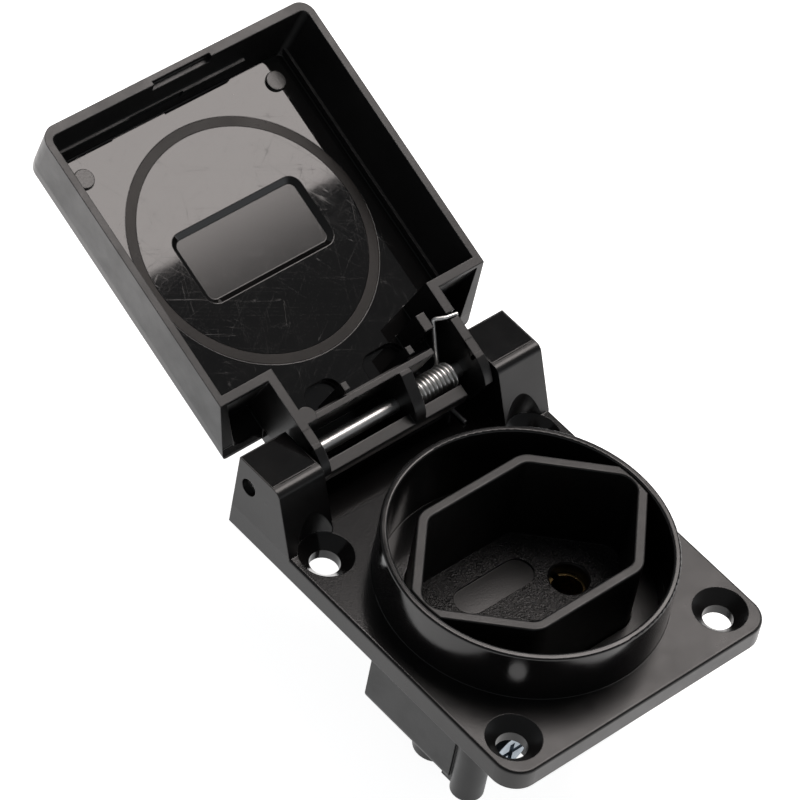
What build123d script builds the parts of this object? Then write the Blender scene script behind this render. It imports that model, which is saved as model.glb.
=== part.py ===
from build123d import *
from math import cos, radians, sin, tan
import os

# Socket outlet for panel mounting, with a round collar, a hexagonal plug recess and a hinged splash lid.
# Millimetres. X runs along the hinge, Y towards the hinge, Z out of the panel.
# The origin is on the collar's axis, in the plane of the panel's face.

# Flange
flange_width = 44.0
flange_front = -23.1
flange_back = 30.1
flange_thickness = 3.1
flange_corner_radius = 3.5
flange_edge_radius = 0.4
mount_pitch = 35.0
mount_centre_y = -0.4
mount_hole_diameter = 4.0
mount_head_diameter = 7.2
mount_head_clearance = 0.05

# Collar, and the web across it that lies inside the panel's cut-out
collar_radius = 18.85
collar_wall = 1.0
collar_height = 10.8
collar_rim_radius = 0.3
web_thickness = 1.6
deck_margin = 0.55

# Hinge ears
ear_width = 7.4
ear_crown = 3.53
ear_foot_y = 19.0
ear_brow_y = 22.7
ear_corner_radius = 1.2
ear_pocket_depth = 2.2
ear_inner_wall = 1.1
ear_outer_wall = 1.3
ear_front_wall = 1.2
ear_back_wall = 0.9

# Hinge
hinge_inset = 2.34
hinge_drop = 2.33
pin_diameter = 2.0
pin_end_inset = 1.0
pin_end_chamfer = 0.2
pin_hole_diameter = 2.5
pin_seat_clearance = 0.02
pin_running_clearance = 0.05
lid_angle = 157.6

# Lid
lid_overhang = 0.1
lid_rim_gap = 0.2
lid_collar_gap = 0.22
lid_plate = 1.5
lid_side_draft = 8.3
lid_end_draft = 3.0
lid_inner_draft = 14.0
lid_corner_radius = 2.2
lid_inner_corner_radius = 1.0
lid_edge_radius = 0.7
lid_side_wall = 1.05
lid_end_wall = 1.3
lid_ear_gap = 1.0
lid_brow_gap = 0.35
lid_side_gap = 0.35
lid_web = 1.35
stop_gap = 0.15
stop_side_gap = 0.2
cheek_mid_angle = 30.0
front_bar_drop = 0.3
cell_wall_u = 10.85
front_bar_u = 2.5
front_bar_end_x = 8.4
back_bar_end_x = 11.0
back_bar_top = 1.7
back_bar_wall = 1.35
spring_slot_u = -0.5
rib_start_x = 2.2
rib_width = 1.7

# Small forms inside the lid: each ledge is its start and end across the lid and its reach from the free edge
ledge_height = 3.4
ledges = ((-25.0, -7.4, 2.75), (-7.4, 1.4, 2.62), (1.4, 11.8, 2.8))
side_ledge_x = 18.95
side_ledge_height = 1.25
notch_centre_x = 0.5
notch_width = 9.4
notch_depth = 0.5
notch_height = 1.2
corner_pad_diameter = 2.7
corner_pad_height = 0.4
corner_pad_x = 15.9
corner_pad_inset = 6.3
post_diameter = 2.6
post_x = -12.4
post_u = 3.4
peg_width = 0.9
peg_length = 1.1
peg_x = 5.4
pocket_depth = 0.9
pocket_length = 3.9
pocket_radius = 1.9
pockets = ((-4.1, 5.6), (6.2, 6.6))
panel_recess_width = 21.2
panel_recess_length = 10.5
panel_recess_radius = 1.8
panel_recess_depth = 0.6
panel_recess_draft = 52.0
tab_x = 10.3
tab_width = 1.4
tab_u = 6.8
tab_length = 2.4
tab_drop = 1.2
leg_notch_width = 0.9
leg_notch_depth = 0.75

# Lid seal ring
seal_outer_radius = 17.15
seal_inner_radius = 15.8
seal_depth = 0.9

# Plug recess
recess_half_height = 11.4
recess_flat_half = 8.7
recess_point_x = 20.3
recess_wall = 1.4
recess_vertex_radius = 3.2
recess_inner_vertex_radius = 1.8
recess_inner_point_radius = 2.5
recess_rim_radius = 0.25
recess_rim_gap = 0.1
recess_depth = 13.8
recess_floor = 1.8
insert_clearance = 0.1
deck_thickness = 1.6
pin_pitch = 19.0
earth_offset = 5.0
pin_bore_diameter = 5.0
pin_bore_chamfer = 0.3
lens_x = 0.7
lens_y = 4.5
lens_length = 12.4
lens_width = 4.4
lens_depth = 0.3

# Rear cover
rear_width = 32.0
rear_front = -8.3
rear_back = 7.7
rear_bottom = -17.0
rear_wall = 1.4
rear_corner_radius = 1.3
well_bottom = -23.0
well_radius = 2.95
well_wall = 0.75
pillar_radius = 2.2
pillar_inset = 1.4
pillar_split = -7.5
pillar_web = 2.2
barrier_thickness = 1.2
barrier_length = 4.0
barrier_top = -5.0
window_width = 3.3
window_bottom = -14.0

# Contacts and terminals
sleeve_bore = 4.1
sleeve_wall = 0.45
sleeve_gap = 0.1
sleeve_slit = 1.0
strip_thickness = 0.6
strip_width = 5.6
strip_top = -8.6
strip_bottom = -15.4
strap_width = 3.0
terminal_z = -12.0
clamp_size = 5.6
clamp_thickness = 1.0
wire_gap = 0.4
screw_diameter = 3.0
screw_head_diameter = 5.4
screw_head_height = 1.7
screw_reach = 0.55
slot_width = 0.8
slot_depth = 0.9
cross_length = 3.2
cover_screw_diameter = 2.0
cover_head_diameter = 3.2
cover_head_height = 1.4
cover_head_sink = 0.2
cover_screw_end = -2.4
screw_clearance = 0.1

# Torsion spring; places on the lid are across it, from the hinge, and from the axis to the open side
wire_diameter = 0.6
coil_diameter = 3.6
coil_start_x = 4.7
coil_pitch = 0.85
coil_turns = 8.5
leg_bend_radius = 0.6
foot_reach = 2.9
foot_gap = 0.05
return_drop = 1.7
return_end_x = 11.2
hook_x = 12.0
hook_u = 5.7
hook_low = 1.0
hook_end_x = 14.45

# Places worked out from the sizes above
hinge_height = collar_height - hinge_drop
ear_height = hinge_height + ear_crown
deck_radius = collar_radius + deck_margin
half_width = flange_width / 2
flange_length = flange_back - flange_front
flange_mid_y = (flange_back + flange_front) / 2
mount_y = (mount_centre_y - mount_pitch / 2, mount_centre_y + mount_pitch / 2)
mount_places = [(x, y) for x in (-mount_pitch / 2, mount_pitch / 2) for y in mount_y]
collar_bore = collar_radius - collar_wall
ear_inner_x = half_width - ear_width
hinge_y = flange_back - hinge_inset
pin_radius = pin_diameter / 2
lid_reach = hinge_y - flange_front + lid_overhang
rim_depth = hinge_height - flange_thickness - lid_rim_gap
floor_depth = hinge_height - collar_height - lid_collar_gap
outer_depth = floor_depth - lid_plate
block_half = ear_inner_x - lid_side_gap
bay_half = block_half - lid_web
barrel_radius = -outer_depth
recess_rim = collar_height - recess_rim_gap
floor_z = recess_rim - recess_depth
floor_bottom = floor_z - recess_floor
deck_bottom = -web_thickness - deck_thickness
pillar_x = rear_width / 2 - pillar_inset
pillar_y = rear_front - pillar_radius
pillars = [(-pillar_x, pillar_y), (pillar_x, pillar_y)]
poles = {"line": (-pin_pitch / 2, 0), "neutral": (pin_pitch / 2, 0), "earth": (0, -earth_offset)}
sleeve_radius = sleeve_bore / 2 + sleeve_wall
strip_front = rear_front - strip_thickness
clamp_front = strip_front - wire_gap - clamp_thickness

# The lid is drawn in its own frame: x along the hinge, u from the hinge to the free edge,
# d from the hinge axis into the open side. The angle is counted from the shut lid.
open_sin = sin(radians(lid_angle))
open_cos = cos(radians(lid_angle))
hinge_point = (0, hinge_y, hinge_height)
lid_frame = Plane(origin=hinge_point, x_dir=(1, 0, 0), z_dir=(0, -open_sin, -open_cos))
lid_side = Plane(origin=hinge_point, x_dir=lid_frame.y_dir, z_dir=(1, 0, 0))
lid_floor = lid_frame.offset(floor_depth)

# The shut lid's underside by the hinge is parallel to the flange's stop at the open angle
stop_radius = barrel_radius + stop_gap
tangent_point = (-barrel_radius * open_sin, -barrel_radius * open_cos)
rim_start_u = -(barrel_radius + rim_depth * open_cos) / open_sin
stop_toe_y = hinge_y + (stop_radius + (hinge_height - flange_thickness) * open_cos) / open_sin
stop_top_z = hinge_height + (stop_radius - hinge_inset * open_sin) / open_cos


def ear_line_u(depth):
    """Distance from the hinge at which a corner of the lid ends beside the ear's slanted front."""
    foot_u = hinge_y - ear_foot_y + lid_ear_gap
    brow_u = hinge_y - ear_brow_y + lid_brow_gap
    share = (depth - hinge_height + ear_height) / (ear_height - flange_thickness)
    return brow_u + (foot_u - brow_u) * share


os.makedirs("parts", exist_ok=True)

# Outlines of the hexagonal recess: the outside is cut off at its points by the collar's bore
with BuildSketch() as recess_hexagon:
    Polygon(
        (recess_flat_half, recess_half_height),
        (recess_point_x, 0),
        (recess_flat_half, -recess_half_height),
        (-recess_flat_half, -recess_half_height),
        (-recess_point_x, 0),
        (-recess_flat_half, recess_half_height),
        align=None,
    )

with BuildSketch() as recess_outside:
    add(recess_hexagon.sketch)
    side_vertices = recess_outside.vertices().group_by(Axis.Y)
    fillet(side_vertices[0] + side_vertices[-1], recess_vertex_radius)
    Circle(collar_bore - insert_clearance, mode=Mode.INTERSECT)

with BuildSketch() as recess_inside:
    add(recess_hexagon.sketch)
    offset(amount=-recess_wall, kind=Kind.INTERSECTION)
    side_vertices = recess_inside.vertices().group_by(Axis.Y)
    fillet(side_vertices[0] + side_vertices[-1], recess_inner_vertex_radius)
    point_vertices = recess_inside.vertices().sort_by(Axis.X)
    fillet([point_vertices[0], point_vertices[-1]], recess_inner_point_radius)

# Flange, collar, web, screw bosses and hinge ears are one moulding
with BuildPart() as flange_body:
    with BuildSketch() as flange_outline:
        with Locations((0, flange_mid_y)):
            Rectangle(flange_width, flange_length)
        fillet(flange_outline.vertices().group_by(Axis.Y)[0], flange_corner_radius)
    extrude(amount=flange_thickness)
    fillet(flange_body.faces().sort_by(Axis.Z)[-1].edges(), flange_edge_radius)
    with BuildSketch():
        Circle(collar_radius)
    extrude(amount=collar_height)
    with BuildSketch():
        Circle(collar_bore)
    extrude(amount=collar_height, mode=Mode.SUBTRACT)
    fillet(flange_body.faces().sort_by(Axis.Z)[-1].edges(), collar_rim_radius)
    # The web leaves the hexagon open
    with BuildSketch(Plane.XY.offset(-web_thickness)):
        Circle(deck_radius)
        offset(recess_outside.sketch, amount=insert_clearance, mode=Mode.SUBTRACT)
    extrude(amount=web_thickness)
    with BuildSketch(Plane.XY.offset(pillar_split)):
        with Locations(*pillars):
            Circle(pillar_radius)
    extrude(amount=-pillar_split)
    with BuildSketch(Plane.XY.offset(pillar_split)):
        with Locations(*pillars):
            Circle(cover_screw_diameter / 2)
    extrude(amount=cover_screw_end - pillar_split, mode=Mode.SUBTRACT)
    # Ears
    for ear_start in (-half_width, ear_inner_x):
        with BuildSketch(Plane.YZ.offset(ear_start)):
            Polygon(
                (ear_foot_y, 0),
                (ear_foot_y, flange_thickness),
                (ear_brow_y, ear_height),
                (flange_back, ear_height),
                (flange_back, 0),
                align=None,
            )
        extrude(amount=ear_width)
    ear_top_edges = flange_body.edges().filter_by(Axis.X).group_by(Axis.Z)[-1]
    fillet(ear_top_edges.group_by(Axis.Y)[0], ear_corner_radius)
    pocket_start_y = ear_brow_y + ear_front_wall
    pocket_end_y = flange_back - ear_back_wall
    pocket_width = ear_width - ear_inner_wall - ear_outer_wall
    pocket_x = ear_inner_x + ear_inner_wall + pocket_width / 2
    with BuildSketch(Plane.XY.offset(ear_height - ear_pocket_depth)):
        with Locations(*[(x, (pocket_start_y + pocket_end_y) / 2) for x in (-pocket_x, pocket_x)]):
            Rectangle(pocket_width, pocket_end_y - pocket_start_y)
    extrude(amount=ear_pocket_depth, mode=Mode.SUBTRACT)
    # Stop between the lid's cheeks, on which the open lid rests
    stop_half = bay_half - stop_side_gap
    with BuildSketch(Plane.YZ.offset(-stop_half)):
        Polygon(
            (stop_toe_y, flange_thickness),
            (flange_back, stop_top_z),
            (flange_back, flange_thickness),
            align=None,
        )
    extrude(amount=2 * stop_half)
    # Mounting holes, with room for the screw heads in the ears' slanted fronts
    with BuildSketch(Plane.XY.offset(flange_thickness)):
        with Locations(*[place for place in mount_places if place[1] > 0]):
            Circle(mount_head_diameter / 2 + mount_head_clearance)
    extrude(amount=ear_height - flange_thickness, mode=Mode.SUBTRACT)
    with Locations(*[(x, y, flange_thickness) for x, y in mount_places]):
        CounterSinkHole(mount_hole_diameter / 2, mount_head_diameter / 2, counter_sink_angle=90)
    # Pin seats, wider at the outer faces
    with BuildSketch(Plane.YZ.offset(-half_width)):
        with Locations((hinge_y, hinge_height)):
            Circle(pin_radius + pin_seat_clearance)
    extrude(amount=flange_width, mode=Mode.SUBTRACT)
    for mouth_start in (-half_width, half_width - pin_end_inset):
        with BuildSketch(Plane.YZ.offset(mouth_start)):
            with Locations((hinge_y, hinge_height)):
                Circle(pin_hole_diameter / 2)
        extrude(amount=pin_end_inset, mode=Mode.SUBTRACT)
flange_body.part.label = "flange_body"
export_step(flange_body.part, "parts/flange_body.step")

# Plug recess with its floor, and the deck that seats under the web
with BuildPart() as socket_insert:
    with BuildSketch(Plane.XY.offset(floor_bottom)):
        add(recess_outside.sketch)
    extrude(amount=recess_rim - floor_bottom)
    with BuildSketch(Plane.XY.offset(deck_bottom)):
        Circle(deck_radius)
        with Locations(*pillars):
            Circle(pillar_radius + insert_clearance, mode=Mode.SUBTRACT)
    extrude(amount=deck_thickness)
    with BuildSketch(Plane.XY.offset(floor_z)):
        add(recess_inside.sketch)
    extrude(amount=recess_depth, mode=Mode.SUBTRACT)
    fillet(socket_insert.faces().sort_by(Axis.Z)[-1].edges(), recess_rim_radius)
    with BuildSketch(Plane.XY.offset(floor_bottom)):
        with Locations(*poles.values()):
            Circle(pin_bore_diameter / 2)
    extrude(amount=recess_floor, mode=Mode.SUBTRACT)
    bore_mouths = socket_insert.edges().filter_by(lambda edge: edge.is_closed and edge.length < deck_radius)
    chamfer(bore_mouths.group_by(Axis.Z)[-1], pin_bore_chamfer)
    with BuildSketch(Plane.XY.offset(floor_z)):
        with Locations((lens_x, lens_y)):
            SlotOverall(lens_length, lens_width)
    extrude(amount=-lens_depth, mode=Mode.SUBTRACT)
socket_insert.part.label = "socket_insert"
export_step(socket_insert.part, "parts/socket_insert.step")

# Rear cover: a cup round the contacts, with a deeper well for the plug's pins and barriers between the terminals
with BuildPart() as rear_cover:
    rear_mid_y = (rear_front + rear_back) / 2
    rear_length = rear_back - rear_front
    with BuildSketch(Plane.XY.offset(rear_bottom)):
        with Locations((0, rear_mid_y)):
            Rectangle(rear_width, rear_length)
    extrude(amount=floor_bottom - rear_bottom)
    fillet(rear_cover.faces().sort_by(Axis.Z)[0].edges(), rear_corner_radius)
    with BuildSketch(Plane.XY.offset(well_bottom)):
        SlotOverall(pin_pitch + 2 * well_radius, 2 * well_radius)
        with Locations(poles["earth"]):
            Circle(well_radius)
        with Locations((0, -earth_offset / 2)):
            Rectangle(2 * well_radius, earth_offset)
    extrude(amount=rear_bottom + rear_wall - well_bottom)
    with BuildSketch(Plane.XY.offset(rear_bottom + rear_wall)):
        with Locations((0, rear_mid_y)):
            Rectangle(rear_width - 2 * rear_wall, rear_length - 2 * rear_wall)
        with Locations(poles["earth"]):
            Rectangle(2 * (sleeve_radius + sleeve_gap), 2 * (sleeve_radius + sleeve_gap))
    extrude(amount=floor_bottom - rear_bottom - rear_wall, mode=Mode.SUBTRACT)
    hollow_radius = well_radius - well_wall
    with BuildSketch(Plane.XY.offset(well_bottom + well_wall)):
        SlotOverall(pin_pitch + 2 * hollow_radius, 2 * hollow_radius)
        with Locations(poles["earth"]):
            Circle(hollow_radius)
        with Locations((0, -earth_offset / 2)):
            Rectangle(2 * hollow_radius, earth_offset)
    extrude(amount=rear_bottom + rear_wall - well_bottom - well_wall, mode=Mode.SUBTRACT)
    # Screw pillars in front of the cup
    with BuildSketch(Plane.XY.offset(rear_bottom)):
        with Locations(*pillars):
            Circle(pillar_radius)
        with Locations(*[(x, (pillar_y + rear_front + rear_wall) / 2) for x, y in pillars]):
            Rectangle(pillar_web, pillar_radius + rear_wall)
    extrude(amount=pillar_split - rear_bottom)
    with BuildSketch(Plane.XY.offset(rear_bottom)):
        with Locations(*pillars):
            Circle(cover_screw_diameter / 2 + screw_clearance)
    extrude(amount=pillar_split - rear_bottom, mode=Mode.SUBTRACT)
    with BuildSketch(Plane.XY.offset(rear_bottom)):
        with Locations(*pillars):
            Circle(cover_head_diameter / 2 + screw_clearance)
    extrude(amount=cover_head_sink + cover_head_height, mode=Mode.SUBTRACT)
    # Barriers between the terminals, and windows for the contacts' straps
    with BuildSketch(Plane.XY.offset(rear_bottom)):
        with Locations(*[(x, rear_front + (rear_wall - barrier_length) / 2) for x in (-pin_pitch / 4, pin_pitch / 4)]):
            Rectangle(barrier_thickness, barrier_length + rear_wall)
    extrude(amount=barrier_top - rear_bottom)
    with BuildSketch(Plane.XY.offset(window_bottom)):
        with Locations(*[(x, rear_front + rear_wall / 2) for x, y in poles.values()]):
            Rectangle(window_width, rear_wall)
    extrude(amount=floor_bottom - window_bottom, mode=Mode.SUBTRACT)
rear_cover.part.label = "rear_cover"
export_step(rear_cover.part, "parts/rear_cover.step")

# For each pole a contact with its slit sleeve, a clamp plate and a terminal screw that faces the front
for pole, (pole_x, pole_y) in poles.items():
    sleeve_bottom = rear_bottom + rear_wall
    with BuildPart() as contact:
        with BuildSketch(Plane.XY.offset(sleeve_bottom)):
            with Locations((pole_x, pole_y)):
                Circle(sleeve_radius)
                Circle(sleeve_bore / 2, mode=Mode.SUBTRACT)
            with Locations((pole_x, pole_y + sleeve_radius / 2)):
                Rectangle(sleeve_slit, sleeve_radius, mode=Mode.SUBTRACT)
        extrude(amount=floor_bottom - sleeve_gap - sleeve_bottom)
        strap_end_y = pole_y - sleeve_bore / 2 - sleeve_wall / 2
        with BuildSketch(Plane.XY.offset(strip_top)):
            with Locations((pole_x, (strip_front + strap_end_y) / 2)):
                Rectangle(strap_width, strap_end_y - strip_front)
        extrude(amount=-strip_thickness)
        with BuildSketch(Plane.XZ.offset(-rear_front)):
            with Locations((pole_x, (strip_top + strip_bottom) / 2)):
                Rectangle(strip_width, strip_top - strip_bottom)
        extrude(amount=strip_thickness)
        with BuildSketch(Plane.XZ.offset(-rear_front)):
            with Locations((pole_x, terminal_z)):
                Circle(screw_diameter / 2)
        extrude(amount=strip_thickness, mode=Mode.SUBTRACT)
    contact.part.label = f"{pole}_contact"
    export_step(contact.part, f"parts/{pole}_contact.step")

    with BuildPart() as clamp_plate:
        with BuildSketch(Plane.XZ.offset(-clamp_front)):
            with Locations((pole_x, terminal_z)):
                Rectangle(clamp_size, clamp_size)
                Circle(screw_diameter / 2 + screw_clearance, mode=Mode.SUBTRACT)
        extrude(amount=-clamp_thickness)
    clamp_plate.part.label = f"{pole}_clamp_plate"
    export_step(clamp_plate.part, f"parts/{pole}_clamp_plate.step")

    with BuildPart() as terminal_screw:
        with BuildSketch(Plane.XZ.offset(-clamp_front)):
            with Locations((pole_x, terminal_z)):
                Circle(screw_head_diameter / 2)
        extrude(amount=screw_head_height)
        with BuildSketch(Plane.XZ.offset(-clamp_front)):
            with Locations((pole_x, terminal_z)):
                Circle(screw_diameter / 2)
        extrude(amount=clamp_front - rear_front - screw_reach)
        with BuildSketch(Plane.XZ.offset(-clamp_front + screw_head_height)):
            with Locations((pole_x, terminal_z)):
                Rectangle(screw_head_diameter, slot_width)
                Rectangle(slot_width, cross_length)
        extrude(amount=-slot_depth, mode=Mode.SUBTRACT)
    terminal_screw.part.label = f"{pole}_terminal_screw"
    export_step(terminal_screw.part, f"parts/{pole}_terminal_screw.step")

# Two screws from behind hold the rear cover, and the insert under it, to the flange's bosses
for side, (screw_x, screw_y) in zip(("left", "right"), pillars):
    head_bottom = rear_bottom + cover_head_sink
    with BuildPart() as cover_screw:
        with BuildSketch(Plane.XY.offset(head_bottom)):
            with Locations((screw_x, screw_y)):
                Circle(cover_head_diameter / 2)
        extrude(amount=cover_head_height)
        with BuildSketch(Plane.XY.offset(head_bottom)):
            with Locations((screw_x, screw_y)):
                Circle(cover_screw_diameter / 2)
        extrude(amount=cover_screw_end - head_bottom)
        with BuildSketch(Plane.XY.offset(head_bottom)):
            with Locations((screw_x, screw_y)):
                Rectangle(cover_head_diameter, slot_width)
        extrude(amount=slot_depth, mode=Mode.SUBTRACT)
    cover_screw.part.label = f"{side}_cover_screw"
    export_step(cover_screw.part, f"parts/{side}_cover_screw.step")

# The lid's outer form: a drafted box, cut back beside the ears, with a rounded block between them
lid_height = rim_depth - outer_depth
plate_half = half_width - lid_height * tan(radians(lid_side_draft))
plate_end_u = lid_reach - lid_height * tan(radians(lid_end_draft))
cut_margin = 3.0
with BuildPart() as lid_form:
    for depth, half, end_u in ((outer_depth, plate_half, plate_end_u), (rim_depth, half_width, lid_reach)):
        with BuildSketch(lid_frame.offset(depth)):
            with Locations((0, (barrel_radius + end_u) / 2)):
                Rectangle(2 * half, end_u - barrel_radius)
    loft(ruled=True)
    free_end = lid_form.faces().sort_by(Axis(hinge_point, lid_frame.y_dir))[-1]
    fillet(free_end.edges().filter_by(Axis.X, reverse=True), lid_corner_radius)
    fillet(lid_form.faces().sort_by(Axis(hinge_point, lid_frame.z_dir))[0].edges(), lid_edge_radius)
    for cut_start in (-half_width - cut_margin, block_half):
        with BuildSketch(lid_side.offset(cut_start)):
            Polygon(
                (-barrel_radius, outer_depth - cut_margin),
                (ear_line_u(outer_depth - cut_margin), outer_depth - cut_margin),
                (ear_line_u(rim_depth + cut_margin), rim_depth + cut_margin),
                (-barrel_radius, rim_depth + cut_margin),
                align=None,
            )
        extrude(amount=half_width + cut_margin - block_half, mode=Mode.SUBTRACT)
    with BuildSketch(lid_side.offset(-block_half)):
        with BuildLine():
            Polyline((0, outer_depth), (cell_wall_u, outer_depth), (cell_wall_u, rim_depth), (rim_start_u, rim_depth))
            Line((rim_start_u, rim_depth), tangent_point)
            ThreePointArc(tangent_point, (-barrel_radius, 0), (0, outer_depth))
        make_face()
    extrude(amount=2 * block_half)
    # Cheeks at the block's ends reach further back than the block, and swing clear of the flange
    swing_radius = hinge_height - flange_thickness - stop_gap
    cheek_top_u = -((swing_radius**2 - rim_depth**2) ** 0.5)
    cheek_back_d = (swing_radius**2 - barrel_radius**2) ** 0.5
    cheek_mid = (-swing_radius * sin(radians(cheek_mid_angle)), swing_radius * cos(radians(cheek_mid_angle)))
    for cheek_start in (-block_half, bay_half):
        with BuildSketch(lid_side.offset(cheek_start)):
            with BuildLine():
                Polyline((-barrel_radius, 0), (0, 0), (0, rim_depth), (cheek_top_u, rim_depth))
                ThreePointArc((cheek_top_u, rim_depth), cheek_mid, (-barrel_radius, cheek_back_d))
                Line((-barrel_radius, cheek_back_d), (-barrel_radius, 0))
            make_face()
        extrude(amount=lid_web)

# The space inside the lid, less the walls, bars and ledges that stand in it
cavity_height = rim_depth - floor_depth
inner_rise = cavity_height * tan(radians(lid_inner_draft))
floor_half = half_width - lid_side_wall - inner_rise
floor_end_u = lid_reach - lid_end_wall - inner_rise
floor_start_u = ear_line_u(outer_depth)
front_bar_end_u = front_bar_u + lid_web
with BuildPart() as lid_cavity:
    with BuildSketch(lid_floor):
        with Locations((0, (floor_start_u + floor_end_u) / 2)):
            Rectangle(2 * floor_half, floor_end_u - floor_start_u)
    extrude(amount=cavity_height, taper=-lid_inner_draft)
    far_wall = lid_cavity.faces().sort_by(Axis(hinge_point, lid_frame.y_dir))[-1]
    fillet(far_wall.edges().filter_by(Axis.X, reverse=True), lid_inner_corner_radius)
    with BuildSketch(lid_floor):
        with Locations((0, (front_bar_end_u + cell_wall_u) / 2)):
            Rectangle(2 * bay_half, cell_wall_u - front_bar_end_u)
    extrude(amount=cavity_height)
    # Ledges along the free edge's wall
    for ledge_start, ledge_end, ledge_reach in ledges:
        with BuildSketch(lid_floor):
            with Locations(((ledge_start + ledge_end) / 2, lid_reach - ledge_reach / 2)):
                Rectangle(ledge_end - ledge_start, ledge_reach)
        extrude(amount=ledge_height, mode=Mode.SUBTRACT)
    # Low ledges along the side walls
    with BuildSketch(lid_floor):
        for side in (-1, 1):
            with Locations((side * (side_ledge_x + half_width) / 2, (cell_wall_u + lid_reach) / 2)):
                Rectangle(half_width - side_ledge_x, lid_reach - cell_wall_u)
    extrude(amount=side_ledge_height, mode=Mode.SUBTRACT)
    # Walls of the corner cells
    with BuildSketch(lid_floor):
        for side in (-1, 1):
            with Locations((side * (bay_half + half_width) / 2, cell_wall_u - lid_web / 2)):
                Rectangle(half_width - bay_half, lid_web)
            with Locations((side * (bay_half + block_half) / 2, cell_wall_u / 2)):
                Rectangle(lid_web, cell_wall_u)
    extrude(amount=cavity_height, mode=Mode.SUBTRACT)
    # Round post and two pegs against the front bar
    with BuildSketch(lid_floor):
        with Locations((post_x, post_u)):
            Circle(post_diameter / 2)
        with Locations(*[(x, front_bar_end_u + peg_length / 2) for x in (-peg_x, peg_x)]):
            Rectangle(peg_width, peg_length)
    extrude(amount=cavity_height, mode=Mode.SUBTRACT)
    # Tab that the spring's leg passes
    with BuildSketch(lid_floor):
        with Locations((tab_x, tab_u)):
            Rectangle(tab_width, tab_length)
    extrude(amount=cavity_height - tab_drop, mode=Mode.SUBTRACT)

# The bay round the pin, which is open to the rim and closed behind by the curved back bar
bay_radius = barrel_radius - back_bar_wall
bay_floor_u = -((bay_radius**2 - floor_depth**2) ** 0.5)
bar_top_u = -((bay_radius**2 - back_bar_top**2) ** 0.5)
with BuildPart() as hinge_bay:
    with BuildSketch(lid_side.offset(-bay_half)):
        with BuildLine():
            ThreePointArc((bay_floor_u, floor_depth), (-bay_radius, 0), (bar_top_u, back_bar_top))
            Polyline(
                (bar_top_u, back_bar_top),
                (-barrel_radius, back_bar_top),
                (-barrel_radius, rim_depth),
                (front_bar_u, rim_depth),
                (front_bar_u, floor_depth),
                (bay_floor_u, floor_depth),
            )
        make_face()
    extrude(amount=2 * bay_half)
    # Rib that carries the pin and the coil's end
    with BuildSketch(lid_side.offset(rib_start_x)):
        with Locations(((front_bar_u - barrel_radius) / 2, (rim_depth + floor_depth) / 2)):
            Rectangle(front_bar_u + barrel_radius, cavity_height)
    extrude(amount=rib_width, mode=Mode.SUBTRACT)
    # The front bar ends short of the spring's hook, and the back bar short of its foot
    with BuildSketch(lid_floor):
        with Locations(((front_bar_end_x + bay_half) / 2, front_bar_u + lid_web / 2)):
            Rectangle(bay_half - front_bar_end_x, lid_web)
    extrude(amount=cavity_height)
    with BuildSketch(lid_frame.offset(outer_depth)):
        with Locations(((back_bar_end_x + bay_half) / 2, (spring_slot_u - barrel_radius) / 2)):
            Rectangle(bay_half - back_bar_end_x, spring_slot_u + barrel_radius)
    extrude(amount=lid_height)

with BuildPart() as lid:
    add(lid_form.part)
    add(lid_cavity.part, mode=Mode.SUBTRACT)
    add(hinge_bay.part, mode=Mode.SUBTRACT)
    with BuildSketch(lid_floor):
        with Locations(*[(x, lid_reach - corner_pad_inset) for x in (-corner_pad_x, corner_pad_x)]):
            Circle(corner_pad_diameter / 2)
    extrude(amount=corner_pad_height)
    # The front bar stands a little lower than the walls and the post
    with BuildSketch(lid_frame.offset(rim_depth)):
        with Locations(((front_bar_end_x - bay_half) / 2, front_bar_u + lid_web / 2)):
            Rectangle(front_bar_end_x + bay_half, lid_web)
        with Locations((post_x, post_u)):
            Circle(post_diameter / 2, mode=Mode.SUBTRACT)
    extrude(amount=-front_bar_drop, mode=Mode.SUBTRACT)
    # Groove for the seal ring, round the collar's axis when the lid is shut
    with BuildSketch(lid_floor):
        with Locations((0, hinge_y)):
            Circle(seal_outer_radius)
            Circle(seal_inner_radius, mode=Mode.SUBTRACT)
    extrude(amount=-seal_depth, mode=Mode.SUBTRACT)
    with BuildSketch(lid_floor):
        with Locations((0, hinge_y)):
            RectangleRounded(panel_recess_width, panel_recess_length, panel_recess_radius)
    extrude(amount=-panel_recess_depth, taper=panel_recess_draft, mode=Mode.SUBTRACT)
    # Cored pockets in the floor in front of the bar
    for pocket_x, pocket_width in pockets:
        with BuildSketch(lid_floor) as pocket_outline:
            with Locations((pocket_x, front_bar_end_u + pocket_length / 2)):
                Rectangle(pocket_width, pocket_length)
            fillet(pocket_outline.vertices().group_by(Axis.Y)[-1], pocket_radius)
        extrude(amount=-pocket_depth, mode=Mode.SUBTRACT)
    # Finger notch in the rim, and the notch in which the spring's leg lies
    with BuildSketch(lid_frame.offset(rim_depth)):
        with Locations((notch_centre_x, lid_reach - lid_end_wall)):
            Rectangle(notch_width, 2 * notch_depth)
    extrude(amount=-notch_height, mode=Mode.SUBTRACT)
    with BuildSketch(lid_frame.offset(rim_depth)):
        with Locations(((bay_half + block_half) / 2, hook_u)):
            Rectangle(lid_web, leg_notch_width)
    extrude(amount=-leg_notch_depth, mode=Mode.SUBTRACT)
    # Running bores for the pin
    with BuildSketch(lid_side.offset(-block_half)):
        Circle(pin_radius + pin_running_clearance)
    extrude(amount=2 * block_half, mode=Mode.SUBTRACT)
lid.part.label = "lid"
export_step(lid.part, "parts/lid.step")

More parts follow.
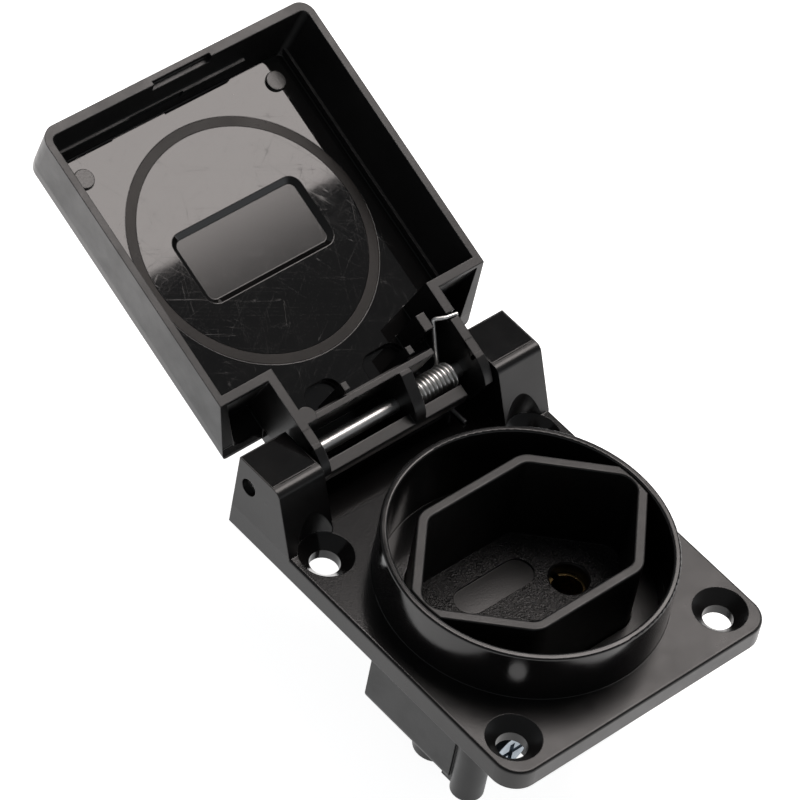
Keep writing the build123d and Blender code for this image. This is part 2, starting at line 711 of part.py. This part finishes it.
with BuildPart() as lid_seal_ring:
    with BuildSketch(lid_floor):
        with Locations((0, hinge_y)):
            Circle(seal_outer_radius)
            Circle(seal_inner_radius, mode=Mode.SUBTRACT)
    extrude(amount=-seal_depth)
lid_seal_ring.part.label = "lid_seal_ring"
export_step(lid_seal_ring.part, "parts/lid_seal_ring.step")

with BuildPart() as hinge_pin:
    with BuildSketch(Plane.YZ.offset(-half_width + pin_end_inset)):
        with Locations((hinge_y, hinge_height)):
            Circle(pin_radius)
    extrude(amount=flange_width - 2 * pin_end_inset)
    chamfer(hinge_pin.edges().filter_by(GeomType.CIRCLE), pin_end_chamfer)
hinge_pin.part.label = "hinge_pin"
export_step(hinge_pin.part, "parts/hinge_pin.step")

# Torsion spring round the pin: its foot stands on the flange, and its hook goes over the lid's wall
wire_radius = wire_diameter / 2
coil_radius = coil_diameter / 2 - wire_radius
coil_end_x = coil_start_x + coil_pitch * coil_turns
coil_frame = Plane(origin=(coil_start_x, hinge_y, hinge_height), x_dir=(0, 1, 0), z_dir=(1, 0, 0))
foot_y = hinge_y - coil_radius
foot_z = flange_thickness + wire_radius + foot_gap
return_y = hinge_y + coil_radius
return_z = hinge_height - return_drop
hook_rest = rim_depth - leg_notch_depth / 2
coil_path = coil_frame.location * Helix(coil_pitch, coil_pitch * coil_turns, coil_radius)
with BuildPart() as lid_spring:
    with BuildSketch(Plane(origin=coil_path @ 0, z_dir=coil_path % 0)):
        Circle(wire_radius)
    sweep(path=coil_path, is_frenet=True)
    with BuildLine() as foot_path:
        FilletPolyline(
            (coil_end_x, foot_y, hinge_height),
            (coil_end_x, foot_y, foot_z),
            (coil_end_x, foot_y - foot_reach, foot_z),
            radius=leg_bend_radius,
        )
    with BuildSketch(Plane(origin=foot_path.line @ 0, z_dir=foot_path.line % 0)):
        Circle(wire_radius)
    sweep(path=foot_path.line)
    with BuildLine() as hook_path:
        FilletPolyline(
            (coil_start_x, return_y, hinge_height),
            (coil_start_x, return_y, return_z),
            (return_end_x, return_y, return_z),
            lid_frame.from_local_coords((hook_x, hook_u, hook_low)),
            lid_frame.from_local_coords((hook_x, hook_u, hook_rest)),
            lid_frame.from_local_coords((hook_end_x, hook_u, hook_rest)),
            radius=leg_bend_radius,
        )
    with BuildSketch(Plane(origin=hook_path.line @ 0, z_dir=hook_path.line % 0)):
        Circle(wire_radius)
    sweep(path=hook_path.line)
    with Locations((coil_start_x, return_y, hinge_height), (coil_end_x, foot_y, hinge_height)):
        Sphere(wire_radius)
lid_spring.part.label = "lid_spring"
export_step(lid_spring.part, "parts/lid_spring.step")
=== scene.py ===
import bpy
import math
from mathutils import Matrix, Vector


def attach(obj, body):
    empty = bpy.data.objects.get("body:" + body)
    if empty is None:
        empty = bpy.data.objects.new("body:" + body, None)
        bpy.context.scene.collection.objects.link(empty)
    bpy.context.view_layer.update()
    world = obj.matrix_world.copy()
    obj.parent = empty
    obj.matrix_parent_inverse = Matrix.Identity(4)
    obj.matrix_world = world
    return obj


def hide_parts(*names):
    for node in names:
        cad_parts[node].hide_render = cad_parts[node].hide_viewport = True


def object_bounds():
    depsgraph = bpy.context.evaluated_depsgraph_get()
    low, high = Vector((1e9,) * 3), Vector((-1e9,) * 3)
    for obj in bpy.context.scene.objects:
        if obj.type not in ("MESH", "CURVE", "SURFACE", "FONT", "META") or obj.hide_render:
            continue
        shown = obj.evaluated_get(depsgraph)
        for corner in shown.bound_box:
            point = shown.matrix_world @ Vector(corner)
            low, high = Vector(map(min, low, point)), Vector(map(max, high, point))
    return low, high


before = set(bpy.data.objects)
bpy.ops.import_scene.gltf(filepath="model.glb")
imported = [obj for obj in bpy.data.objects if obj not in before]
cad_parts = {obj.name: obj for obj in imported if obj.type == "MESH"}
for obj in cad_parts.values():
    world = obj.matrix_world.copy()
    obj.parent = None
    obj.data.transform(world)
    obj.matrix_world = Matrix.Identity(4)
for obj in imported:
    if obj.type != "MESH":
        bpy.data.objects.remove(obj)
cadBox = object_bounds()
scene = bpy.context.scene
scene.view_settings.view_transform = "Standard"
print("frame loaded:", len(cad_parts), "nodes")

# camera, as in the photograph: a long lens over the socket's left front corner
photoCamera = {
    "place": (-0.3303, -0.2527, 0.4828),
    "right": (0.7447, -0.6532, 0.1372),
    "forward": (0.5178, 0.4357, -0.7362),
    "lens": 229.95,
    "sensor": 36.0,
    "nearest": 0.01,
}


def makeCamera():
    bpy.ops.object.camera_add(location=photoCamera["place"])
    camera = bpy.context.object
    camera.name = "photoCamera"
    ahead = Vector(photoCamera["forward"]).normalized()
    across = Vector(photoCamera["right"])
    across = (across - ahead * across.dot(ahead)).normalized()
    turn = Matrix((across, across.cross(ahead), -ahead)).transposed().to_4x4()
    camera.matrix_world = Matrix.Translation(photoCamera["place"]) @ turn
    camera.data.lens = photoCamera["lens"]
    camera.data.sensor_width = photoCamera["sensor"]
    camera.data.clip_start = photoCamera["nearest"]
    scene.camera = camera


makeCamera()
print("camera made")


def addNode(tree, kind, **settings):
    node = tree.nodes.new(kind)
    for name, value in settings.items():
        setattr(node, name, value)
    return node


def feed(tree, value, socket):
    # a number is set on the socket, another node's output is linked to it
    if isinstance(value, (int, float)):
        socket.default_value = value
    else:
        tree.links.new(value, socket)


def mathNode(tree, operation, *values):
    node = addNode(tree, "ShaderNodeMath", operation=operation)
    for value, socket in zip(values, node.inputs):
        feed(tree, value, socket)
    return node.outputs[0]


def rangeNode(tree, value, fromLow, fromHigh, toLow=0.0, toHigh=1.0, smooth=False):
    node = addNode(tree, "ShaderNodeMapRange")
    node.interpolation_type = "SMOOTHSTEP" if smooth else "LINEAR"
    tree.links.new(value, node.inputs["Value"])
    node.inputs["From Min"].default_value = fromLow
    node.inputs["From Max"].default_value = fromHigh
    node.inputs["To Min"].default_value = toLow
    node.inputs["To Max"].default_value = toHigh
    return node.outputs["Result"]


def blendNode(tree, factor, first, second):
    node = addNode(tree, "ShaderNodeMix", data_type="FLOAT")
    tree.links.new(factor, node.inputs["Factor"])
    feed(tree, first, node.inputs["A"])
    feed(tree, second, node.inputs["B"])
    return node.outputs["Result"]


def axisNodes(tree, place):
    split = addNode(tree, "ShaderNodeSeparateXYZ")
    tree.links.new(place, split.inputs[0])
    return split.outputs


# studio: a white floor, one large soft lamp above to the right, and a dim room with a brighter horizon
studio = {
    "floorSize": 8.0,
    "floorGap": 0.0001,
    "floorColour": (0.84, 0.84, 0.84, 1.0),
    "floorRough": 0.9,
    "floorShine": 0.1,
    "floorGlow": 0.9,
    "lampPlace": (0.60, 0.186, 1.0),
    "lampSize": (0.80, 0.648),
    "lampPower": 11.5,
    "lampColour": (1.0, 0.93, 0.90),
    "roomColour": (0.94, 0.97, 1.0, 1.0),
    "roomLight": 0.16,
    "horizonLight": 0.85,
    "horizonHeights": (0.02, 0.30),
}


def makeFloor():
    under = (0.0, 0.0, cadBox[0].z - studio["floorGap"])
    bpy.ops.mesh.primitive_plane_add(size=studio["floorSize"], location=under)
    floor = bpy.context.object
    floor.name = "studioFloor"
    material = bpy.data.materials.new("floorWhite")
    material.use_nodes = True
    tree = material.node_tree
    shader = tree.nodes["Principled BSDF"]
    shader.inputs["Base Color"].default_value = studio["floorColour"]
    shader.inputs["Roughness"].default_value = studio["floorRough"]
    shader.inputs["Specular IOR Level"].default_value = studio["floorShine"]
    shader.inputs["Emission Color"].default_value = (1.0, 1.0, 1.0, 1.0)
    path = addNode(tree, "ShaderNodeLightPath")
    seen = mathNode(tree, "MAXIMUM", path.outputs["Is Camera Ray"], path.outputs["Is Glossy Ray"])
    seen = mathNode(tree, "MAXIMUM", seen, path.outputs["Is Transmission Ray"])
    glow = mathNode(tree, "MULTIPLY", seen, studio["floorGlow"])
    tree.links.new(glow, shader.inputs["Emission Strength"])
    floor.data.materials.append(material)


def makeRoom():
    world = bpy.data.worlds.new("studioRoom")
    scene.world = world
    world.use_nodes = True
    tree = world.node_tree
    background = tree.nodes["Background"]
    background.inputs["Color"].default_value = studio["roomColour"]
    direction = addNode(tree, "ShaderNodeTexCoord")
    height = axisNodes(tree, direction.outputs["Generated"])["Z"]
    lights = (studio["horizonLight"], studio["roomLight"])
    light = rangeNode(tree, height, *studio["horizonHeights"], *lights, smooth=True)
    path = addNode(tree, "ShaderNodeLightPath")
    seen = mathNode(tree, "MAXIMUM", path.outputs["Is Camera Ray"], path.outputs["Is Transmission Ray"])
    tree.links.new(blendNode(tree, seen, light, 1.0), background.inputs["Strength"])


def makeLamp():
    bpy.ops.object.light_add(type="AREA", location=studio["lampPlace"])
    lamp = bpy.context.object
    lamp.name = "softLamp"
    lamp.data.shape = "RECTANGLE"
    lamp.data.size, lamp.data.size_y = studio["lampSize"]
    lamp.data.energy = studio["lampPower"]
    lamp.data.color = studio["lampColour"]


makeFloor()
makeRoom()
makeLamp()
print("studio made")

# hinge line, and the direction from it along the open lid
hinge = {"y": 0.02776, "z": 0.00847, "alongY": 0.9245, "alongZ": 0.3811}
hingeTilt = -math.atan2(hinge["alongZ"], hinge["alongY"])
alongLid = Vector((0.0, hinge["alongY"], hinge["alongZ"]))
outOfLid = Vector((0.0, -hinge["alongZ"], hinge["alongY"]))


def placeOnLid(x, along, out):
    return Vector((x, hinge["y"], hinge["z"])) + alongLid * along + outOfLid * out


# noise by use: how many finer layers it has, their weight, and the part of its values that shows
noiseKinds = {
    "drift": {"detail": 3.0, "roughness": 0.5, "shown": (0.35, 0.65)},
    "patches": {"detail": 3.0, "roughness": 0.6, "shown": (0.3, 0.7)},
    "grain": {"detail": 2.0, "roughness": 0.6},
    "plain": {"detail": 2.0, "roughness": 0.5},
    "smooth": {"detail": 0.0, "roughness": 0.5},
}


def newFinish(name):
    material = bpy.data.materials.new(name)
    material.use_nodes = True
    tree = material.node_tree
    coords = addNode(tree, "ShaderNodeTexCoord")
    return material, tree, tree.nodes["Principled BSDF"], coords.outputs["Object"]


def noiseNode(tree, place, scale, kind):
    noise = addNode(tree, "ShaderNodeTexNoise")
    tree.links.new(place, noise.inputs["Vector"])
    noise.inputs["Scale"].default_value = scale
    noise.inputs["Detail"].default_value = noiseKinds[kind]["detail"]
    noise.inputs["Roughness"].default_value = noiseKinds[kind]["roughness"]
    return noise.outputs["Fac"]


def driftColour(tree, place, look):
    noise = noiseNode(tree, place, look["driftScale"], "drift")
    node = addNode(tree, "ShaderNodeMix", data_type="RGBA")
    tree.links.new(rangeNode(tree, noise, *noiseKinds["drift"]["shown"]), node.inputs["Factor"])
    node.inputs["A"].default_value = (*look["dark"], 1.0)
    node.inputs["B"].default_value = (*look["light"], 1.0)
    return node.outputs["Result"]


edgeSamples = 6


def bumpNode(tree, height, distance, edge):
    # fine relief on a normal that is rounded at the edges
    rounded = addNode(tree, "ShaderNodeBevel", samples=edgeSamples)
    rounded.inputs["Radius"].default_value = edge
    node = addNode(tree, "ShaderNodeBump")
    node.inputs["Distance"].default_value = distance
    tree.links.new(height, node.inputs["Height"])
    tree.links.new(rounded.outputs["Normal"], node.inputs["Normal"])
    return node.outputs["Normal"]


# pale dust, in sparse round specks
dust = {"scale": 420.0, "core": 0.014, "rim": 0.028, "share": 0.10, "colour": (0.16, 0.15, 0.14, 1.0)}


def dustNode(tree, place, colour):
    cells = addNode(tree, "ShaderNodeTexVoronoi", feature="F1")
    tree.links.new(place, cells.inputs["Vector"])
    cells.inputs["Scale"].default_value = dust["scale"]
    speck = rangeNode(tree, cells.outputs["Distance"], dust["core"], dust["rim"], 1.0, 0.0)
    split = addNode(tree, "ShaderNodeSeparateColor")
    tree.links.new(cells.outputs["Color"], split.inputs[0])
    chosen = mathNode(tree, "LESS_THAN", split.outputs[0], dust["share"])
    node = addNode(tree, "ShaderNodeMix", data_type="RGBA")
    tree.links.new(mathNode(tree, "MULTIPLY", speck, chosen), node.inputs["Factor"])
    tree.links.new(colour, node.inputs["A"])
    node.inputs["B"].default_value = dust["colour"]
    return node.outputs["Result"]


# fine straight scratches on the lid's floor: thin lines where a stretched noise passes its middle value
floorScratches = {
    "turns": (0.52, 1.12, -0.38, 2.15, 1.7),
    "scale": 1900.0,
    "length": 40.0,
    "middle": 0.5,
    "width": 0.012,
    "patchScale": 900.0,
    "patches": (0.46, 0.64),
    "rough": 0.16,
}


def scratchNode(tree, place, look):
    level = addNode(tree, "ShaderNodeMapping")
    tree.links.new(place, level.inputs["Vector"])
    level.inputs["Rotation"].default_value = (hingeTilt, 0.0, 0.0)
    marks = None
    for turn in look["turns"]:
        along = addNode(tree, "ShaderNodeMapping", vector_type="TEXTURE")
        tree.links.new(level.outputs[0], along.inputs["Vector"])
        along.inputs["Rotation"].default_value = (0.0, 0.0, turn)
        along.inputs["Scale"].default_value = (1.0, look["length"], 1.0)
        lines = noiseNode(tree, along.outputs[0], look["scale"], "smooth")
        off = mathNode(tree, "ABSOLUTE", mathNode(tree, "SUBTRACT", lines, look["middle"]))
        line = rangeNode(tree, off, 0.0, look["width"], 1.0, 0.0)
        patches = noiseNode(tree, along.outputs[0], look["patchScale"], "plain")
        line = mathNode(tree, "MULTIPLY", line, rangeNode(tree, patches, *look["patches"]))
        marks = line if marks is None else mathNode(tree, "MAXIMUM", marks, line)
    return marks


# places, in metres, where a moulding has another texture than elsewhere; in the lid they are depths, out from
# the hinge line
lidFloor = {"top": -0.0024, "bottom": -0.0036, "fade": 0.00005}
lidPlate = {"top": -0.00312, "bottom": -0.0032, "fade": 0.00003, "rough": 0.10}
lidPads = {"top": -0.0021, "bottom": -0.0022, "fade": 0.00003, "rough": 0.22}
recessFloor = {"top": -0.0030, "bottom": -0.0032, "fade": 0.00004}
collar = {"radius": 0.01895, "height": 0.0031, "fade": 0.0001}
flangeRear = {"top": 0.0032, "fade": 0.0001, "along": (-0.008, 0.005), "rough": 0.13}


def bandMask(tree, value, band):
    rise = rangeNode(tree, value, band["bottom"] - band["fade"], band["bottom"])
    fall = rangeNode(tree, value, band["top"], band["top"] + band["fade"], 1.0, 0.0)
    return mathNode(tree, "MULTIPLY", rise, fall)


def depthInLid(tree, place):
    axes = axisNodes(tree, place)
    byY = mathNode(tree, "MULTIPLY", mathNode(tree, "SUBTRACT", axes["Y"], hinge["y"]), -hinge["alongZ"])
    byZ = mathNode(tree, "MULTIPLY", mathNode(tree, "SUBTRACT", axes["Z"], hinge["z"]), hinge["alongY"])
    return mathNode(tree, "ADD", byY, byZ)


def lidFloorMask(tree, place):
    return bandMask(tree, depthInLid(tree, place), lidFloor)


def recessFloorMask(tree, place):
    return bandMask(tree, axisNodes(tree, place)["Z"], recessFloor)


def collarMask(tree, place):
    axes = axisNodes(tree, place)
    squares = [mathNode(tree, "POWER", axes[name], 2.0) for name in ("X", "Y")]
    radius = mathNode(tree, "SQRT", mathNode(tree, "ADD", *squares))
    inside = rangeNode(tree, radius, collar["radius"], collar["radius"] + collar["fade"], 1.0, 0.0)
    above = rangeNode(tree, axes["Z"], collar["height"], collar["height"] + collar["fade"])
    return mathNode(tree, "MULTIPLY", inside, above)


def rearMask(tree, place, rear):
    axes = axisNodes(tree, place)
    low = rangeNode(tree, axes["Z"], rear["top"], rear["top"] + rear["fade"], 1.0, 0.0)
    return mathNode(tree, "MULTIPLY", low, rangeNode(tree, axes["Y"], *rear["along"], smooth=True))


# moulded black plastic: what all mouldings share, then what differs from one to the next
blackPlastic = {
    "dark": (0.0042, 0.0041, 0.0042),
    "light": (0.0068, 0.0064, 0.0064),
    "driftScale": 90.0,
    "patchScale": 260.0,
    "rough": (0.31, 0.42),
    "grainScale": 3200.0,
    "grainDepth": 6e-6,
    "edge": 0.00018,
    "shine": 0.5,
}
plasticLooks = {
    "flange_body": blackPlastic | {
        "rough": (0.27, 0.37),
        "shine": 0.43,
        "zone": {"mask": collarMask, "rough": (0.10, 0.17), "grainScale": 3200.0, "grainDepth": 5e-7},
        "rear": flangeRear,
    },
    "socket_insert": blackPlastic | {
        "driftScale": 120.0,
        "rough": (0.32, 0.42),
        "grainScale": 3600.0,
        "grainDepth": 1.6e-5,
        "shine": 0.42,
        "zone": {"mask": recessFloorMask, "rough": (0.25, 0.31), "grainScale": 3500.0, "grainDepth": 2.4e-4},
    },
    "rear_cover": blackPlastic | {"rough": (0.30, 0.44), "grainScale": 2800.0, "edge": 0.0002},
    "lid": blackPlastic | {
        "zone": {"mask": lidFloorMask, "rough": (0.022, 0.032), "grainScale": 500.0, "grainDepth": 3e-7},
        "bands": (lidPlate, lidPads),
        "scratches": floorScratches,
    },
    "lid_seal_ring": blackPlastic | {
        "dark": (0.0078, 0.0062, 0.0051),
        "light": (0.0125, 0.0102, 0.0086),
        "driftScale": 200.0,
        "rough": (0.27, 0.35),
        "grainScale": 2600.0,
        "grainDepth": 8e-6,
        "edge": 0.0001,
        "shine": 0.18,
    },
}


def zoneFinish(tree, place, look, patches, rough, relief):
    zone = look["zone"]
    inZone = zone["mask"](tree, place)
    zoneRough = rangeNode(tree, patches, *noiseKinds["patches"]["shown"], *zone["rough"])
    rough = blendNode(tree, inZone, rough, zoneRough)
    grain = noiseNode(tree, place, zone["grainScale"], "grain")
    relief = blendNode(tree, inZone, relief, mathNode(tree, "MULTIPLY", grain, zone["grainDepth"]))
    if "rear" in look:
        rough = blendNode(tree, rearMask(tree, place, look["rear"]), rough, look["rear"]["rough"])
    if "bands" in look:
        depth = depthInLid(tree, place)
        for band in look["bands"]:
            rough = blendNode(tree, bandMask(tree, depth, band), rough, band["rough"])
    if "scratches" in look:
        marks = mathNode(tree, "MULTIPLY", scratchNode(tree, place, look["scratches"]), inZone)
        rough = blendNode(tree, marks, rough, look["scratches"]["rough"])
    return rough, relief


def plasticFinish(name, look):
    material, tree, shader, place = newFinish(name)
    colour = dustNode(tree, place, driftColour(tree, place, look))
    tree.links.new(colour, shader.inputs["Base Color"])
    patches = noiseNode(tree, place, look["patchScale"], "patches")
    rough = rangeNode(tree, patches, *noiseKinds["patches"]["shown"], *look["rough"])
    grain = noiseNode(tree, place, look["grainScale"], "grain")
    relief = mathNode(tree, "MULTIPLY", grain, look["grainDepth"])
    if "zone" in look:
        rough, relief = zoneFinish(tree, place, look, patches, rough, relief)
    tree.links.new(rough, shader.inputs["Roughness"])
    tree.links.new(bumpNode(tree, relief, 1.0, look["edge"]), shader.inputs["Normal"])
    shader.inputs["Specular IOR Level"].default_value = look["shine"]
    return material


# metals: drawn steel of the pin and spring, zinc plated screws and clamps, brass contacts whose colour is
# darkened as painted shade for their deep bores
metalLooks = {
    "steel": {
        "dark": (0.66, 0.66, 0.65),
        "light": (0.78, 0.78, 0.77),
        "driftScale": 300.0,
        "patchScale": 500.0,
        "rough": (0.32, 0.42),
        "lineScale": 900.0,
        "lineStretch": (0.15, 4.0, 4.0),
        "lineDepth": 3e-6,
        "edge": 0.0001,
    },
    "zinc": {
        "dark": (0.26, 0.30, 0.34),
        "light": (0.42, 0.47, 0.52),
        "driftScale": 500.0,
        "patchScale": 700.0,
        "rough": (0.28, 0.42),
        "lineScale": 1500.0,
        "lineStretch": (1.0, 1.0, 1.0),
        "lineDepth": 5e-6,
        "edge": 0.00012,
    },
    # brass colour made much darker than bare brass: painted shade for the contacts down in their bores
    "shadedBrass": {
        "dark": (0.26, 0.18, 0.08),
        "light": (0.40, 0.28, 0.12),
        "driftScale": 300.0,
        "patchScale": 500.0,
        "rough": (0.22, 0.36),
        "lineScale": 1200.0,
        "lineStretch": (1.0, 1.0, 0.2),
        "lineDepth": 3e-6,
        "edge": 0.0001,
    },
}
metalNodes = {
    "hinge_pin": "steel",
    "lid_spring": "steel",
    "left_cover_screw": "zinc",
    "right_cover_screw": "zinc",
}
for pole in ("line", "neutral", "earth"):
    metalNodes[pole + "_contact"] = "shadedBrass"
    metalNodes[pole + "_clamp_plate"] = "zinc"
    metalNodes[pole + "_terminal_screw"] = "zinc"


def metalFinish(name, look):
    material, tree, shader, place = newFinish(name)
    tree.links.new(driftColour(tree, place, look), shader.inputs["Base Color"])
    shader.inputs["Metallic"].default_value = 1.0
    patches = noiseNode(tree, place, look["patchScale"], "patches")
    rough = rangeNode(tree, patches, *noiseKinds["patches"]["shown"], *look["rough"])
    tree.links.new(rough, shader.inputs["Roughness"])
    stretched = addNode(tree, "ShaderNodeMapping")
    tree.links.new(place, stretched.inputs["Vector"])
    stretched.inputs["Scale"].default_value = look["lineStretch"]
    lines = noiseNode(tree, stretched.outputs[0], look["lineScale"], "plain")
    tree.links.new(bumpNode(tree, lines, look["lineDepth"], look["edge"]), shader.inputs["Normal"])
    return material


def dress(node, material):
    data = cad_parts[node].data
    data.materials.clear()
    data.materials.append(material)


plastics = {node: plasticFinish(node + "Finish", look) for node, look in plasticLooks.items()}
metals = {name: metalFinish(name + "Finish", look) for name, look in metalLooks.items()}
for node, material in plastics.items():
    dress(node, material)
for node, metal in metalNodes.items():
    dress(node, metals[metal])
print("finishes made")

# surfaces that meet at less than this angle are shaded as one
smoothAngle = math.radians(40)


def finishPiece(piece, material, body):
    piece.data.materials.clear()
    piece.data.materials.append(material)
    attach(piece, body)


# torsion spring: close turns of thin wire round the pin, a foot on the flange and a leg in the lid; the leg's
# places are across the lid, along it from the hinge, and out of it
spring = {
    "wire": 0.0003,
    "radius": 0.0015,
    "start": 0.00435,
    "pitch": 0.000667,
    "turns": 10.5,
    "steps": 36,
    "sides": 12,
    "roundness": 4,
    "foot": ((0.01135, 0.02626, 0.00847), (0.01135, 0.02626, 0.00346), (0.01135, 0.02336, 0.00346)),
    "leg": (
        (0.00435, 0.001494, 0.000128),
        (0.00435, 0.00162, -0.00135),
        (0.01065, 0.00162, -0.00135),
        (0.0112, 0.0020, -0.00065),
        (0.01138, 0.00655, 0.00415),
        (0.0127, 0.0058, 0.00478),
        (0.01445, 0.00555, 0.00482),
    ),
    "bend": 0.00055,
    "bendShare": 0.45,
    "bendSteps": 6,
}


def roundedPath(points):
    # each inner corner becomes a short curve that leaves part of both runs straight
    corners = [Vector(point) for point in points]
    path = [corners[0]]
    for before, corner, after in zip(corners, corners[1:], corners[2:]):
        back = before - corner
        onward = after - corner
        reach = min(spring["bend"], back.length * spring["bendShare"], onward.length * spring["bendShare"])
        first = corner + back.normalized() * reach
        last = corner + onward.normalized() * reach
        for step in range(spring["bendSteps"] + 1):
            share = step / spring["bendSteps"]
            path.append(first.lerp(corner, share).lerp(corner.lerp(last, share), share))
    path.append(corners[-1])
    return path


def makeWire(name, points):
    curve = bpy.data.curves.new(name, "CURVE")
    curve.dimensions = "3D"
    curve.bevel_depth = spring["wire"]
    curve.bevel_resolution = spring["roundness"]
    curve.use_fill_caps = True
    path = roundedPath(points)
    line = curve.splines.new("POLY")
    line.points.add(len(path) - 1)
    for knot, place in zip(line.points, path):
        knot.co = (*place, 1.0)
    piece = bpy.data.objects.new(name, curve)
    scene.collection.objects.link(piece)
    bpy.ops.object.select_all(action="DESELECT")
    piece.select_set(True)
    bpy.context.view_layer.objects.active = piece
    bpy.ops.object.convert(target="MESH")
    bpy.ops.object.shade_smooth_by_angle(angle=smoothAngle)
    return bpy.context.object


def makeCoil():
    section = (spring["start"], hinge["y"] + spring["radius"], hinge["z"])
    bpy.ops.object.select_all(action="DESELECT")
    bpy.ops.mesh.primitive_circle_add(radius=spring["wire"], vertices=spring["sides"], location=section)
    coil = bpy.context.object
    coil.name = "springCoil"
    scene.cursor.location = (spring["start"], hinge["y"], hinge["z"])
    bpy.ops.object.origin_set(type="ORIGIN_CURSOR")
    screw = coil.modifiers.new("turns", "SCREW")
    screw.axis = "X"
    screw.angle = math.tau * spring["turns"]
    screw.screw_offset = spring["pitch"] * spring["turns"]
    screw.steps = round(spring["steps"] * spring["turns"])
    screw.render_steps = screw.steps
    bpy.ops.object.modifier_apply(modifier=screw.name)
    bpy.ops.object.mode_set(mode="EDIT")
    bpy.ops.mesh.select_mode(type="EDGE")
    bpy.ops.mesh.select_all(action="DESELECT")
    bpy.ops.mesh.select_non_manifold()
    bpy.ops.mesh.fill_holes(sides=spring["sides"])
    bpy.ops.mesh.select_all(action="SELECT")
    bpy.ops.mesh.normals_make_consistent(inside=False)
    bpy.ops.object.mode_set(mode="OBJECT")
    bpy.ops.object.transform_apply(location=True, rotation=True, scale=True)
    bpy.ops.object.shade_smooth_by_angle(angle=smoothAngle)
    scene.cursor.location = (0.0, 0.0, 0.0)
    return coil


def makeSpring():
    coil = makeCoil()
    foot = makeWire("springFoot", spring["foot"])
    bpy.ops.object.select_all(action="DESELECT")
    for piece in (coil, foot):
        piece.select_set(True)
    bpy.context.view_layer.objects.active = coil
    bpy.ops.object.join()
    leg = makeWire("springLeg", [placeOnLid(*knot) for knot in spring["leg"]])
    for piece, body in ((coil, "base"), (leg, "lid")):
        finishPiece(piece, metals["steel"], body)
        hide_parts("lid_spring")


makeSpring()
print("spring made")

# the hinge ears are closed on top, and glossier there than on their sides
earTop = {
    "starts": (-0.02185, 0.01475),
    "width": 0.0071,
    "along": (0.0239, 0.02995),
    "heights": (0.0097, 0.01203),
    "edge": 0.00008,
    "edgeSteps": 3,
    "look": blackPlastic | {"rough": (0.07, 0.11), "shine": 0.35},
}


def makeEarTop(start, material):
    spans = ((start, start + earTop["width"]), earTop["along"], earTop["heights"])
    middle = [sum(span) / 2 for span in spans]
    bpy.ops.object.select_all(action="DESELECT")
    bpy.ops.mesh.primitive_cube_add(size=1.0, location=middle)
    piece = bpy.context.object
    piece.name = "earTop"
    piece.scale = [high - low for low, high in spans]
    bpy.ops.object.transform_apply(location=True, rotation=True, scale=True)
    bevel = piece.modifiers.new("edges", "BEVEL")
    bevel.width = earTop["edge"]
    bevel.segments = earTop["edgeSteps"]
    bpy.ops.object.modifier_apply(modifier=bevel.name)
    finishPiece(piece, material, "base")


earFinish = plasticFinish("earTopFinish", earTop["look"])
for start in earTop["starts"]:
    makeEarTop(start, earFinish)
print("ear tops made")

# the cheeks' tops run on in one line from the block to their rounded backs
cheekFill = {
    "starts": (-0.01425, 0.0129),
    "width": 0.00135,
    "profile": ((-0.0006, 0.0040), (-0.0006, 0.00517), (0.0021, 0.00517), (0.0019, 0.0047)),
}


def makeCheekFill(start):
    corners = [placeOnLid(start, along, out) for along, out in cheekFill["profile"]]
    bpy.ops.object.select_all(action="DESELECT")
    bpy.ops.mesh.primitive_plane_add(size=cheekFill["width"])
    piece = bpy.context.object
    piece.name = "cheekFill"
    for vertex, corner in zip(piece.data.polygons[0].vertices, corners):
        piece.data.vertices[vertex].co = corner
    bpy.ops.object.mode_set(mode="EDIT")
    bpy.ops.mesh.select_all(action="SELECT")
    bpy.ops.mesh.extrude_region_move(TRANSFORM_OT_translate={"value": (cheekFill["width"], 0.0, 0.0)})
    bpy.ops.mesh.select_all(action="SELECT")
    bpy.ops.mesh.normals_make_consistent(inside=False)
    bpy.ops.object.mode_set(mode="OBJECT")
    finishPiece(piece, plastics["lid"], "lid")


for start in cheekFill["starts"]:
    makeCheekFill(start)
print("cheek fills made")
